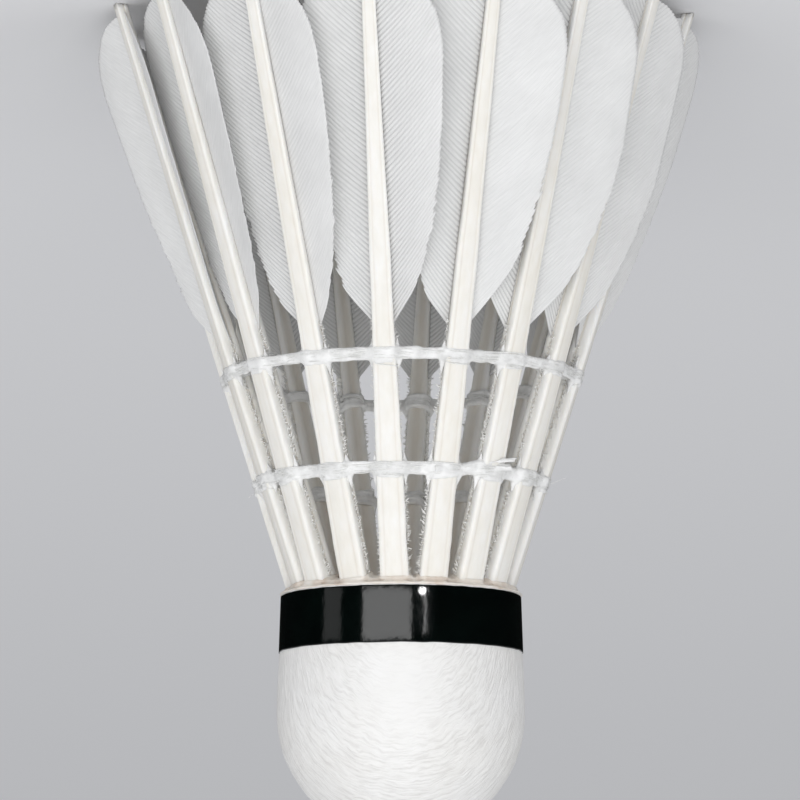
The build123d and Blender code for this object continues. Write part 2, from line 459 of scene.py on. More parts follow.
def stub_material():
    """Matt white stubs, a few of them creamier."""
    tree = new_material("barb_stubs")
    tree.feed("Base Color", tree.ramp(tree.noise(2500, 2), (0.35, (0.82, 0.81, 0.78)),
                                      (0.65, (0.92, 0.92, 0.90))))
    tree.feed("Roughness", 0.7)
    return tree.owner


def thread_material():
    """White filament, damp-looking where the glue has soaked in."""
    tree = new_material("thread")
    fibre = tree.noise(3500, 3, (1, 1, 2.5))
    tree.feed("Base Color", tree.ramp(fibre, (0.3, (0.72, 0.72, 0.70)), (0.7, (0.90, 0.90, 0.88))))
    tree.feed("Roughness", 0.35)
    tree.waxy(0.2, grey(1.0), 0.0004)
    tree.bump(fibre, 0.4, 0.00005)
    return tree.owner


def binding_glue_material():
    """Clear glue over white thread: greyish white, glossy in patches."""
    tree = new_material("binding_glue")
    tree.feed("Base Color", tree.ramp(tree.noise(700, 4), (0.32, (0.72, 0.72, 0.71)),
                                      (0.5, (0.84, 0.84, 0.83)), (0.68, (0.93, 0.93, 0.92))))
    tree.patchy_roughness(1200, 3, 0.16, 0.5)
    tree.waxy(0.25, grey(1.0), 0.0005)
    tree.bump(tree.noise(3800, 3, (0.25, 0.25, 1.6)), 0.5, 0.0001)
    return tree.owner


def root_glue_material():
    """Cured resin, cream with a pink cast, darker where it has run together."""
    tree = new_material("root_glue")
    cloud = tree.noise(500, 5)
    tree.feed("Base Color", tree.ramp(cloud, (0.3, (0.68, 0.57, 0.48)), (0.5, (0.83, 0.76, 0.68)),
                                      (0.7, (0.91, 0.87, 0.81))))
    tree.feed("Roughness", 0.3)
    tree.waxy(0.25, (1.0, 0.95, 0.9), 0.0005)
    tree.bump(cloud, 0.4, 0.0002)
    return tree.owner


def leather_material():
    """Fine white leather, its grain drawn out one way as on a hide stretched over the cork.

    Red and green are a point's place on the hide laid flat, over HIDE_SPAN, from the middle.
    Blue is how much of the grain shows: less in a painted highlight on the front, just past the band,
    coloured evenly lighter and smoothed.
    """
    tree = new_material("leather")
    place, part = tree.tone()
    hide = tree.stretched(place, (HIDE_SPAN, HIDE_SPAN, 0.0))
    warp = tree.noise_on(hide, 0.35, 2)["Color"]
    bent = tree.add("VectorMath", {0: warp, 1: (1.5, 1.5, 0.0), 2: hide}, operation="MULTIPLY_ADD")
    drawn = tree.stretched(bent.outputs["Vector"], (0.28, 2.8, 1.0))
    grain = tree.noise_on(drawn, 1.25, 3, 0.6)["Fac"]
    raised = tree.add("Math", {0: grain, 1: part["Blue"]}, operation="MULTIPLY")
    lines = tree.ramp(grain, (0.36, (0.75, 0.74, 0.725)), (0.5, (0.85, 0.845, 0.83)),
                      (0.62, (0.885, 0.88, 0.868)))
    # painted highlight: evenly lighter, grainless colour where Blue is low
    highlight_and_grain = tree.mix(part["Blue"], (0.875, 0.87, 0.858, 1), lines)
    clouds = tree.ramp(tree.noise(160, 3), (0.35, (0.965, 0.96, 0.95)), (0.65, grey(1.0)))
    tree.feed("Base Color", tree.multiplied(highlight_and_grain, clouds))
    tree.feed("Roughness", 0.6)
    pores = tree.bump(tree.noise(5200, 2), 0.25, 0.00004)
    tree.bump(raised.outputs["Value"], 0.6, 0.0002, pores)
    return tree.owner


def band_material():
    """Glossy tape, nearly black with a green cast, with faint ripples in its surface."""
    tree = new_material("band_tape")
    tree.feed("Base Color", tree.ramp(tree.noise(300, 4), (0.3, (0.0005, 0.0013, 0.0012)),
                                      (0.7, (0.0012, 0.0030, 0.0026))))
    tree.patchy_roughness(1600, 4, 0.04, 0.15)
    tree.bump(tree.noise(900, 5, (1, 1, 0.6)), 0.28, 0.00008)
    return tree.owner


def cork_material():
    """Brown cork in light and dark grains."""
    tree = new_material("cork")
    grain = tree.noise(900, 5)
    tree.feed("Base Color", tree.ramp(grain, (0.3, (0.30, 0.17, 0.08)), (0.5, (0.56, 0.37, 0.20)),
                                      (0.7, (0.70, 0.52, 0.32))))
    tree.feed("Roughness", 0.85)
    tree.bump(grain, 0.5, 0.0002)
    return tree.owner


VANE = vane_material()
SHAFT = shaft_material()
STUBS = stub_material()
THREAD = thread_material()
BINDING_GLUE = binding_glue_material()
ROOT_GLUE = root_glue_material()
LEATHER = leather_material()
BAND = band_material()
CORK = cork_material()


# ---------------------------------------------------------------- shafts

# Half of a shaft's section, from the middle of its face to the middle of its back:
# share of half the depth, share of half the width at that depth, and painted tone (0 shaded groove, 0.5 face,
# 1 lit flank)
SECTION_HALF = (
    (1.03, 0.0, 0.6), (1.02, 0.30, 0.6), (1.0, 0.46, 0.5), (0.975, 0.56, 0.3), (1.0, 0.66, 0.5),
    (0.96, 0.86, 0.7), (0.82, 0.99, 1.0), (0.45, 1.0, 1.0), (0.05, 1.0, 0.95), (-0.12, 0.92, 0.35),
    (-0.24, 0.90, 0.1), (-0.36, 0.97, 0.8), (-0.82, 0.93, 0.9), (-1.0, 0.68, 0.6), (-0.80, 0.22, 0.2),
)


def shaft_ring():
    """A whole section as rows of (depth share, width share, tone), going once around."""
    half = np.array(SECTION_HALF)
    other = half[1:][::-1] * np.array([1, -1, 1])
    return np.concatenate([half, other])


def shaft_points(feather, ring):
    """Rings of points up a shaft, from its cut tip to the end of its peg in the cork."""
    rng = feather.rng
    length = feather.length
    steps = np.concatenate([np.linspace(0, length - NECK_LENGTH, 110), [length - 0.35, length + 0.1]])
    peg_steps = length + np.array([0.6, 3.0, 5.5, PEG_LENGTH - 0.3, PEG_LENGTH])
    wobble_seed, rough_seed = (int(seed) for seed in rng.integers(1, 10_000, 4)[:2])
    rings = []
    tones = []
    for along in steps:
        share = min(along / length, 1.0)
        squeeze = 1.0 - NECK_SQUEEZE * max(0.0, (along - (length - NECK_LENGTH)) / NECK_LENGTH)
        wobble = 1 + 0.035 * line_noise(np.array([along]), 5.0, wobble_seed)[0]
        half_width = shaft_width(share) / 2 * wobble * squeeze
        half_depth = shaft_depth(share) / 2 * squeeze
        taper = 1 - (1 - BACK_WIDTH_RATIO) * (1 - ring[:, 0]) / 2
        x = ring[:, 0] * half_depth
        y = ring[:, 1] * half_width * taper
        z = np.full(len(ring), along)
        probe = np.stack([ring[:, 1] * 3, ring[:, 0] * 3, z], 1)
        rough = lattice_noise(probe, (0.7, 0.7, 0.5), rough_seed)
        stripped = rising(along, ROUGH_FROM, 3.0)
        edge = rising(np.abs(ring[:, 1]), 0.8, 0.2) * (ring[:, 0] > -0.6)
        y += np.sign(ring[:, 1]) * rough * 0.05 * edge * stripped
        bow = SHAFT_BOW * math.sin(math.pi * share)
        rings.append(np.stack([x + bow, y, z], 1))
        tones.append(ring[:, 2])
    for k, along in enumerate(peg_steps):
        radius = PEG_RADII[0] + (PEG_RADII[1] - PEG_RADII[0]) * k / (len(peg_steps) - 1)
        if k == len(peg_steps) - 1:
            radius *= 0.6
        angles = np.arctan2(ring[:, 1], ring[:, 0])
        rings.append(at_angle(radius, angles, np.full(len(ring), along)))
        tones.append(np.full(len(ring), 0.3))
    return rings, tones


def cut_tip(feather, first_ring, rng):
    """Moves the first ring along the shaft so that the tip is cut level, with a slightly torn edge."""
    fall = feather.out[2] * first_ring[:, 0] + feather.across[2] * first_ring[:, 1] + feather.origin[2]
    level = -fall / feather.along[2]
    ring = first_ring.copy()
    ring[:, 2] = level + rng.uniform(0.0, 0.10, len(ring))
    return ring


def make_shaft(feather):
    """A shaft in one piece, its cut tip dished where the pith shows."""
    ring = shaft_ring()
    around = len(ring)
    rings, tones = shaft_points(feather, ring)
    rings[0] = cut_tip(feather, rings[0], feather.rng)
    centre = rings[0].mean(0)
    pith = centre + (rings[0] - centre) * 0.72
    pith[:, 2] += 0.10
    core = centre + (rings[0] - centre) * 0.30
    core[:, 2] += 0.16
    rings = [core, pith] + rings
    tones = [np.full(around, 0.45), np.full(around, 0.7)] + tones
    points = feather.place(np.concatenate(rings))
    node = feather.name + "_shaft"
    add_piece(node + "_quill", points, ring_quads(len(rings), around), SHAFT, [node],
              end_polygons(len(rings), around), np.concatenate(tones)[:, None])


def make_barb_stubs(feather):
    """Torn stubs of the barbs stripped from the bare part of the shaft: a frayed line down each side."""
    rng = feather.rng
    parts = MeshParts()
    bare_end = feather.length - STUBS_SHORT_OF_ROOT
    for side in (-1, 1):
        count = int((bare_end - STUBS_FROM) * STUBS_PER_MM)
        seed = int(rng.integers(1, 10_000))
        places = np.sort(rng.uniform(STUBS_FROM, bare_end, count))
        density = line_noise(places, 1.8, seed)
        for along, thick in zip(places, density):
            share = along / feather.length
            half_width = shaft_width(share) / 2
            depth_place = rng.normal(0.0, 0.14)
            depth_share = depth_place / (shaft_depth(share) / 2)
            taper = 1 - (1 - BACK_WIDTH_RATIO) * (1 - depth_share) / 2
            size = rng.uniform(*STUB_RADII)
            reach = 0.10 + (0.18 + 0.14 * thick) * rng.exponential(0.8)
            reach = float(np.clip(reach, *STUB_REACHES))
            lean = rng.normal(-0.4, 0.5)
            base = np.array([depth_place, side * (half_width * taper * 0.97), along])
            point = base + np.array([rng.normal(0, 0.08), side * reach, lean * reach])
            middle = (base + point) / 2 + rng.normal(0, 0.025, 3)
            parts.tube([base, middle, point], [size, size * 0.85, size * 0.3], 5)
    add_piece(feather.name + "_barb_stubs", feather.place(parts.all_points()), parts.all_quads(), STUBS,
              (), parts.polygons)


# ---------------------------------------------------------------- vanes

def upper_hull(points):
    """The upper edge of a set of (distance, width) points, where it bulges outwards."""
    order = points[np.lexsort((points[:, 1], points[:, 0]))]
    hull = []
    for point in order:
        while len(hull) > 1:
            run, rise = hull[-1] - hull[-2]
            if run * (point[1] - hull[-2][1]) - rise * (point[0] - hull[-2][0]) < 0:
                break
            hull.pop()
        hull.append(point)
    return np.array(hull)


def vane_surface(w, tilt, side, lift):
    """Points of the vane's curved sheet, w across it, raised by lift; in the feather's X and Y."""
    lean = math.radians(tilt)
    share = w / CAMBER_REACH
    rise = 4 * CAMBER * share * (1 - share) + lift
    x = -VANE_INSET + math.sin(lean) * w + math.cos(lean) * rise
    y = side * (math.cos(lean) * w - math.sin(lean) * rise)
    return x, y


class HalfVane:
    """The barbs on one side of a shaft, side by side and locked into one ridged sheet."""

    def __init__(self, feather, half, side, relief, angles):
        self.feather = feather
        self.node = f"{feather.name}_{half}_vane"
        self.side = side
        self.relief = relief
        self.start_angle, self.end_angle = angles
        self.rng = feather.rng
        self.seed = int(self.rng.integers(1, 10_000))
        self.measure()
        self.barbs = int((self.bottom - self.top - 0.3) / BARB_PITCH)

    def measure(self):
        """The half vane's tilt and outline, from its node."""
        local = self.feather.local(node_points(self.node))
        width = local[:, 1] * self.side
        far = width > width.max() * 0.985
        reach = width[far].mean()
        rise = 4 * CAMBER * reach / CAMBER_REACH * (1 - reach / CAMBER_REACH)
        slope = math.atan2(local[far, 0].mean() + VANE_INSET, reach)
        self.tilt = math.degrees(slope - math.atan2(rise, reach))
        self.outline = upper_hull(np.stack([local[:, 2], width / math.cos(math.radians(self.tilt))], 1))
        self.top, self.bottom = self.outline[0, 0], self.outline[-1, 0]

    def trace(self, places, ridge, ragged):
        """Points along the barbs: distance down the shaft, distance across, length so far, whole length.

        places counts barbs from the tip, and ridge is 0 in a groove.
        """
        start = self.top + 0.2 + places * BARB_PITCH + 0.06 * line_noise(places, 2.3, self.seed + 5)
        share = (start - self.top) / (self.bottom - self.top)
        steep = rising(share, 0.70, 0.30)
        sway = 2.0 * line_noise(places, 6.0, self.seed + 6)
        first = np.radians(self.start_angle - 12 * steep + sway)[:, None]
        last = np.radians(self.end_angle - 8 * steep + sway)[:, None]
        s = np.linspace(0, LONGEST_BARB, BARB_STEPS)
        step = s[1]
        angle = first + (last - first) * rising(s, 0, 9.0)
        root = shaft_width(start / self.feather.length) / 2 * 0.80
        t = start[:, None] - (np.cumsum(np.cos(angle), 1) - np.cos(first)) * step
        w = root[:, None] + (np.cumsum(np.sin(angle), 1) - np.sin(first)) * step
        outside = (w > np.interp(t, self.outline[:, 0], self.outline[:, 1])) | (t < self.top)
        outside[:, -1] = True
        end = s[np.argmax(outside, 1)]
        notch = 0.14 + 0.36 * rising(share, RAGGED_FROM, RAGGED_OVER)
        end = np.maximum(end + ragged - notch * (1 - ridge), 0.35)
        stations = end[:, None] * np.linspace(0, 1, BARB_STATIONS) ** 1.05
        low = np.minimum((stations / step).astype(int), len(s) - 2)
        part = stations / step - low
        rows = np.arange(len(places))[:, None]
        t = t[rows, low] * (1 - part) + t[rows, low + 1] * part
        w = w[rows, low] * (1 - part) + w[rows, low + 1] * part
        return t, w, stations, end[:, None]

    def sheet(self, places, ridge, ragged):
        """Upper and lower points of the rows, and their tones, which carry painted light and shade."""
        t, w, s, end = self.trace(places, ridge, ragged)
        ridge = ridge[:, None]
        probe = np.stack([t.ravel(), w.ravel(), np.zeros(t.size)], 1)
        wave = 0.12 * lattice_noise(probe, (8.0, 4.0, 1.0), self.seed).reshape(t.shape) * rising(s, 0, 3.0)
        curl = -0.012 * np.clip(w - 4.0, 0, 4) ** 2
        height = self.relief * np.interp(s, [0, 0.8, 4, 8], [0.13, 0.15, 0.09, 0.06])
        end_thin = 0.35 + 0.65 * np.clip((end - s) / 0.7, 0, 1)
        above = wave + curl + (height * ridge + WEB_THICKNESS / 2) * end_thin
        below = wave + curl - (height * 0.7 * ridge + WEB_THICKNESS / 2) * end_thin
        upper = np.stack([*vane_surface(w, self.tilt, self.side, above), t], -1)
        lower = np.stack([*vane_surface(w, self.tilt, self.side, below), t], -1)
        # painted shade in the grooves, deepest near the shaft
        painted_groove_shade = self.relief * np.interp(s, [0, 1.0, 5, 9], [1.0, 0.9, 0.55, 0.3])
        light = 1 - (1 - ridge) * painted_groove_shade
        # painted shade at the barbs' roots, next to the shaft
        light = light * np.interp(s, [0, 0.3, 0.8], [0.45, 0.8, 1.0])
        # painted highlight along the barbs' ends, a bright rim on the vane's edge
        light = light + 0.3 * np.clip((s - end + 0.25) / 0.25, 0, 1)
        tones = np.stack([light, s / 12, np.broadcast_to(places[:, None] / 64, s.shape)], -1)
        return upper, lower, tones

    def make(self):
        """All the barbs as one closed sheet, their ends more ragged towards the bare shaft."""
        barbs = np.arange(self.barbs)
        raggedness = 0.03 + 0.22 * rising(barbs / self.barbs, RAGGED_FROM, RAGGED_OVER)
        ends = self.rng.normal(0, 1, self.barbs) * raggedness
        places = np.append((barbs[:, None] + BARB_ROWS).ravel(), self.barbs - 0.02)
        ridge = np.append(np.tile(np.sin(math.pi * BARB_ROWS) ** 1.1, self.barbs), 0.0)
        ragged = np.append(np.repeat(ends, len(BARB_ROWS)), 0.0)
        upper, lower, tone = self.sheet(places, ridge, ragged)
        points = self.feather.place(np.concatenate([upper.reshape(-1, 3), lower.reshape(-1, 3)]))
        add_piece(self.node + "_barbs", points, self.shell_quads(upper), VANE, [self.node],
                  tone=np.tile(tone.reshape(-1, 3), (2, 1)))

    def shell_quads(self, upper):
        """Faces of a closed sheet: a grid of upper points, one of lower points, and a wall round them."""
        rows, columns = upper.shape[:2]
        index = np.arange(rows * columns).reshape(rows, columns)
        top = np.stack([index[:-1, :-1], index[:-1, 1:], index[1:, 1:], index[1:, :-1]], -1).reshape(-1, 4)
        under = top[:, ::-1] + rows * columns
        rim = np.concatenate([index[0, :-1], index[:-1, -1], index[-1, :0:-1], index[:0:-1, 0]])
        after = np.roll(rim, -1)
        wall = np.stack([rim, rim + rows * columns, after + rows * columns, after], -1)
        quads = np.concatenate([top, under, wall])
        return quads[:, ::-1] if self.side < 0 else quads


def make_feather(feather):
    outer = OUTER_RELIEF.get(feather.number, USUAL_OUTER_RELIEF)
    inner = INNER_RELIEF.get(feather.number, USUAL_INNER_RELIEF)
    make_shaft(feather)
    make_barb_stubs(feather)
    HalfVane(feather, "outer", -1, outer, OUTER_BARB_ANGLES).make()
    HalfVane(feather, "inner", 1, inner, INNER_BARB_ANGLES).make()


# ---------------------------------------------------------------- thread bindings and glue

def shaft_at_height(feather, z):
    """Centre line point of a shaft at a height, and how far up the shaft that is."""
    along = z / feather.along[2]
    return feather.origin + feather.along * along, along


def wrap_path(feather, z, clear, slant, phase):
    """A closed turn of thread round a shaft."""
    _, along = shaft_at_height(feather, z)
    share = along / feather.length
    half_width = shaft_width(share) / 2 + clear
    half_depth = shaft_depth(share) / 2 + clear
    angle = np.arange(24) / 24 * TAU
    squareness = 0.55
    c, s = np.cos(angle), np.sin(angle)
    x = np.sign(c) * np.abs(c) ** squareness * half_depth
    y = np.sign(s) * np.abs(s) ** squareness * half_width
    y *= 1 - (1 - BACK_WIDTH_RATIO) * (1 - c) / 2
    local = np.stack([x, y, along + slant * np.sin(angle + phase)], 1)
    return feather.place(local)


def binding_ring_path(feathers, z, lift, height, rng, twist):
    """A strand that runs right round the skirt, over the shafts' faces and in between them."""
    places = []
    for feather in feathers:
        centre, along = shaft_at_height(feather, z)
        share = along / feather.length
        half_depth = shaft_depth(share) / 2
        half_angle = shaft_width(share) / 2 / np.hypot(*centre[:2])
        places.append((math.atan2(centre[1], centre[0]), np.hypot(*centre[:2]), half_depth, half_angle))
    places.sort()
    angles = []
    radii = []
    for k, (angle, radius, half_depth, half_angle) in enumerate(places):
        nxt = places[(k + 1) % len(places)]
        next_angle = nxt[0] + (TAU if k == len(places) - 1 else 0)
        over = radius + half_depth + lift
        angles += [angle - half_angle * 0.85, angle, angle + half_angle * 0.85]
        radii += [over, over + 0.03, over]
        gap_start, gap_end = angle + half_angle * 1.2, next_angle - nxt[3] * 1.2
        middle = (gap_start + gap_end) / 2
        angles += [gap_start, middle, gap_end]
        dip = radius + half_depth * 0.45 + lift
        radii += [dip + 0.12, dip, dip + 0.12]
    angles = np.array(angles)
    radii = np.array(radii)
    fine = angles[0] + np.arange(960) / 960 * TAU
    wrapped_angles = np.concatenate([angles, [angles[0] + TAU]])
    wrapped_radii = np.concatenate([radii, [radii[0]]])
    radius = np.interp(fine, wrapped_angles, wrapped_radii)
    kernel = np.hanning(11)
    kernel /= kernel.sum()
    radius = np.convolve(np.concatenate([radius[-5:], radius, radius[:5]]), kernel, "valid")
    wave = height * np.sin(fine * twist + rng.uniform(0, TAU))
    return at_angle(radius, fine, z + wave)


def voxel_skin(parts, name, voxel, rounds):
    """Melts many shapes into one smooth closed skin."""
    mesh = bpy.data.meshes.new(name + "_raw")
    faces = parts.all_quads().tolist() + parts.polygons
    mesh.from_pydata((parts.all_points() * MM).tolist(), [], faces)
    raw = put(name + "_raw", mesh)
    remesh = raw.modifiers.new("voxels", "REMESH")
    remesh.mode = "VOXEL"
    remesh.voxel_size = voxel * MM
    smooth = raw.modifiers.new("melt", "SMOOTH")
    smooth.factor = 0.5
    smooth.iterations = rounds
    graph = bpy.context.evaluated_depsgraph_get()
    skin = bpy.data.meshes.new_from_object(raw.evaluated_get(graph))
    bpy.data.objects.remove(raw)
    co = np.empty(len(skin.vertices) * 3)
    skin.vertices.foreach_get("co", co)
    normals = np.empty(len(skin.vertices) * 3)
    skin.vertices.foreach_get("normal", normals)
    return skin, co.reshape(-1, 3) / MM, normals.reshape(-1, 3)


def finish_skin(skin, points, name, material, replaces):
    skin.vertices.foreach_set("co", (points * MM).ravel())
    skin.update()
    skin.polygons.foreach_set("use_smooth", [True] * len(skin.polygons))
    skin.materials.clear()
    skin.materials.append(material)
    finish_piece(put(name, skin), replaces)


def web_path(feather, z, side, half_length):
    """A line up the corner between a shaft's flank and the thread that meets it."""
    _, along = shaft_at_height(feather, z)
    steps = np.linspace(-1, 1, 13)
    share = (along + steps * half_length) / feather.length
    x = shaft_depth(share) / 2 * 0.40
    y = side * (shaft_width(share) / 2 + 0.10)
    return feather.place(np.stack([x, y, along + steps * half_length], 1)), 1 - np.abs(steps)


def make_binding(feathers, node, seed):
    """Glue-soaked thread: a lumpy skin over everything, with separate filaments showing on it."""
    low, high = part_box(node)
    z = (low.z + high.z) / 2 / MM
    outside = high.x / MM
    rng = np.random.default_rng(seed)
    body = MeshParts()
    for offset in RING_OFFSETS:
        path = binding_ring_path(feathers, z + offset, 0.0, 0.09, rng, int(rng.integers(4, 9)))
        body.tube(path, RING_RADIUS, 8, True)
    for feather in feathers:
        for offset in TURN_OFFSETS:
            turn = wrap_path(feather, z + offset + rng.normal(0, 0.07), -0.02, rng.normal(0, 0.14), 0)
            body.tube(turn, rng.uniform(*TURN_RADII), 8, True)
        for side in (-1, 1):
            path, swell = web_path(feather, z + rng.normal(0, 0.12), side, rng.uniform(1.5, 2.3))
            body.tube(path, 0.05 + 0.52 * swell ** 1.4, 8)
    if node == "thread_binding_near_cork":
        first, second = (feathers[number - 1] for number in STRAY_FEATHERS)
        for _ in range(STRAYS):
            path = stray_path(first, second, z, rng.uniform(0.1, 0.7), rng.uniform(0.6, 1.9), rng)
            body.tube(path, rng.uniform(0.10, 0.19), 8)
    skin, points, normals = voxel_skin(body, node, 0.11, 8)
    lumps = lattice_noise(points, 0.8, seed) * 0.09
    lumps += lattice_noise(points, (0.45, 0.45, 0.18), seed + 1) * 0.04
    points = points + normals * lumps[:, None]
    finish_skin(skin, points, node + "_glue", BINDING_GLUE, [node])

    strands = MeshParts()
    for k in range(FILAMENTS):
        offset = -0.42 + 0.17 * k + rng.normal(0, 0.03)
        path = binding_ring_path(feathers, z + offset, FILAMENT_LIFT, 0.12, rng, int(rng.integers(7, 17)))
        strands.tube(path, rng.uniform(*FILAMENT_RADII), 6, True)
    for feather in feathers:
        for _ in range(TURNS_OF_FILAMENT):
            height = z + rng.uniform(-0.6, 0.6)
            turn = wrap_path(feather, height, FILAMENT_LIFT, rng.normal(0, 0.3), rng.uniform(0, TAU))
            strands.tube(turn, rng.uniform(0.04, 0.06), 6, True)
    for _ in range(LOOSE_ENDS):
        angle = rng.uniform(0, TAU)
        start = at_angle(outside - 0.6, angle, z + rng.uniform(-0.5, 0.5))
        heading = np.array([math.cos(angle), math.sin(angle), 0]) * 0.5 + rng.normal(0, 0.5, 3)
        steps = np.linspace(0, 1, 7)[:, None]
        curl = rng.normal(0, 0.35, 3)
        strands.tube(start + heading * steps * rng.uniform(0.6, 1.5) + curl * steps ** 2, 0.025, 5)
    add_piece(node + "_strands", strands.all_points(), strands.all_quads(), THREAD, (),
              strands.polygons)


def stray_path(first, second, z, first_drop, second_drop, rng):
    """Thread that crosses slantwise from one shaft to the next, off the binding."""
    start, along = shaft_at_height(first, z - first_drop)
    finish, _ = shaft_at_height(second, z - second_drop)
    lift = shaft_depth(along / first.length) / 2 + 0.08
    start = start + first.out * lift
    finish = finish + second.out * lift
    steps = np.linspace(-0.25, 1.3, 16)[:, None]
    hang = 4 * steps * (1 - steps) * 0.3
    wander = np.cumsum(rng.normal(0, 0.05, (len(steps), 3)), 0)
    return start + (finish - start) * steps - (first.out + second.out) / 2 * hang + wander


def make_root_glue(feathers):
    """Resin run round the shaft feet and out to the rim."""
    rng = np.random.default_rng(5)
    body = MeshParts()
    angle = np.arange(360) / 360 * TAU
    feet = np.hypot(*shaft_at_height(feathers[0], RIM_Z)[0][:2])
    for radius, z, thick in ((feet + 0.9, -0.30, 0.48), (feet, -0.45, 0.62), (feet - 0.9, -0.30, 0.48)):
        body.tube(at_angle(np.full(360, radius), angle, np.full(360, RIM_Z + z)), thick, 10, True)
    uneven = lattice_noise(at_angle(np.full(360, 9.0), angle, np.zeros(360)), 0.5, 33)
    body.tube(at_angle(RIM_RADIUS + 0.13 + 0.09 * uneven, angle, np.full(360, RIM_Z - 0.04)), 0.13, 8, True)
    body.tube(at_angle(RIM_RADIUS - 0.20 + 0.05 * uneven, angle, np.full(360, RIM_Z - 0.10)), 0.20, 8, True)
    for feather in feathers:
        for offset in (-0.95, -0.50, -0.10):
            turn = wrap_path(feather, RIM_Z + offset, 0.04, rng.normal(0, 0.08), 0)
            body.tube(turn, rng.uniform(0.24, 0.34), 8, True)
    skin, points, normals = voxel_skin(body, "root_glue", 0.12, 6)
    points = points + normals * (lattice_noise(points, 0.8, 31) * 0.06)[:, None]
    points[:, 2] = np.minimum(points[:, 2], RIM_Z + 0.25)
    finish_skin(skin, points, "root_glue_fillet", ROOT_GLUE, ["glue_collar"])


# ---------------------------------------------------------------- base

def turned(profile, segments):
    """Rings of a profile of (radius, z) turned round the axis."""
    angle = np.arange(segments) / segments * TAU
    z = np.broadcast_to(profile[:, 1][:, None], (len(profile), segments))
    return at_angle(profile[:, 0][:, None], angle, z)


def leather_profile(inset, steps):
    """The leather's outside, or its inside at an inset, from its rim to just short of the nose."""
    band_steps, waist_steps, dome_steps = steps
    rows = []
    if inset == 0:
        rows += [(RIM_RADIUS, RIM_Z - RIM_LIP), (RIM_RADIUS + 0.04, RIM_Z - RIM_LIP),
                 (RIM_RADIUS + 0.06, RIM_Z), (RIM_RADIUS + 0.04, RIM_Z + RIM_LIP)]
    for share in np.linspace(0.03, 1, band_steps):
        radius = RIM_RADIUS + (BAND_END_RADIUS - RIM_RADIUS) * share
        rows.append((radius - inset, RIM_Z + (BAND_TOP_Z - RIM_Z) * share))
    for share in np.linspace(0, 1, waist_steps)[1:]:
        radius = BAND_END_RADIUS + (BASE_RADIUS - BAND_END_RADIUS) * (1 - (1 - share) ** 2)
        rows.append((radius - inset, BAND_TOP_Z + (SHOULDER_Z - BAND_TOP_Z) * share))
    dome = BASE_RADIUS - inset
    for turn in np.linspace(0, math.pi / 2, dome_steps)[1:-1]:
        rows.append((dome * math.cos(turn), SHOULDER_Z + dome * math.sin(turn)))
    return np.array(rows)


def hide_places(points):
    """Where each point lies on the hide laid flat, its middle at the nose, in millimetres."""
    across = np.hypot(points[:, 0], points[:, 1])
    above = points[:, 2] - SHOULDER_Z
    dome_arc = BASE_RADIUS * np.arctan2(across, np.maximum(above, 0))
    reach = dome_arc + np.maximum(-above, 0)
    stretch = reach / np.maximum(across, 1e-6)
    return stretch * points[:, 0], stretch * points[:, 1]


def grain_outside_highlight(points):
    """1 where the hide shows its grain, less in a painted highlight on the front, just past the band: evenly
    lighter in colour and smoothed.
    """
    front = (points[:, 0] / 4.2) ** 2 + ((points[:, 2] - BAND_TOP_Z - 4.0) / 6.5) ** 2
    # painted highlight patch on the front, the side towards the camera
    highlight_patch = np.where(points[:, 1] < 0, np.exp(-front ** 1.5), 0)
    return 1 - 0.85 * highlight_patch


def leather_relief(points):
    """Height of the drawn-out grain, of soft lumps, and of the puckers just past the band."""
    across, along = hide_places(points)
    hide = np.stack([across, along, np.zeros(len(points))], 1)
    bend = np.stack([lattice_noise(hide, 5.0, 76), lattice_noise(hide, 5.0, 78), np.zeros(len(points))], 1)
    grain = lattice_noise(hide + bend * 0.9, (1.8, 0.42, 1.0), 77) * grain_outside_highlight(points)
    soft = lattice_noise(hide, 2.6, 71)
    past_band = points[:, 2] - BAND_TOP_Z
    pucker = lattice_noise(points, (0.7, 0.7, 5.0), 75) * np.exp(-np.clip(past_band, 0, None) / 1.4)
    return (grain * 0.030 + soft * 0.025 + pucker * 0.035) * rising(past_band, 0, 0.5)


def dome_fan(first, segments, pole):
    """Triangles from the last ring of a dome to the point at its pole."""
    return [[first + j, first + (j + 1) % segments, pole] for j in range(segments)]


def make_leather():
    """Leather drawn over the nose: a closed shell with a drawn-out grain on its outside."""
    segments = 432
    centre = np.array([0, 0, SHOULDER_Z])
    outer = turned(leather_profile(0, (14, 40, 120)), segments).reshape(-1, 3)
    normal = outer - centre
    normal[:, 2] = np.maximum(normal[:, 2], 0)
    normal /= np.linalg.norm(normal, axis=1)[:, None]
    outer = outer + normal * leather_relief(outer)[:, None]
    inner = turned(leather_profile(LEATHER_THICKNESS, (3, 4, 24)), segments).reshape(-1, 3)
    poles = centre + [[0, 0, BASE_RADIUS], [0, 0, BASE_RADIUS - LEATHER_THICKNESS]]
    rim = np.arange(segments)
    after = np.roll(rim, -1)
    lip = np.stack([rim, rim + len(outer), after + len(outer), after], -1)
    quads = np.concatenate([ring_quads(len(outer) // segments, segments), lip,
                            ring_quads(len(inner) // segments, segments, len(outer))[:, ::-1]])
    pole = len(outer) + len(inner)
    fans = dome_fan(len(outer) - segments, segments, pole)
    fans += [fan[::-1] for fan in dome_fan(pole - segments, segments, pole + 1)]
    points = np.concatenate([outer, inner, poles])
    across, along = hide_places(points)
    tone = np.stack([across / HIDE_SPAN, along / HIDE_SPAN, grain_outside_highlight(points)], 1)
    add_piece("leather_cover_skin", points, quads, LEATHER, ["leather_cover"], fans, tone)


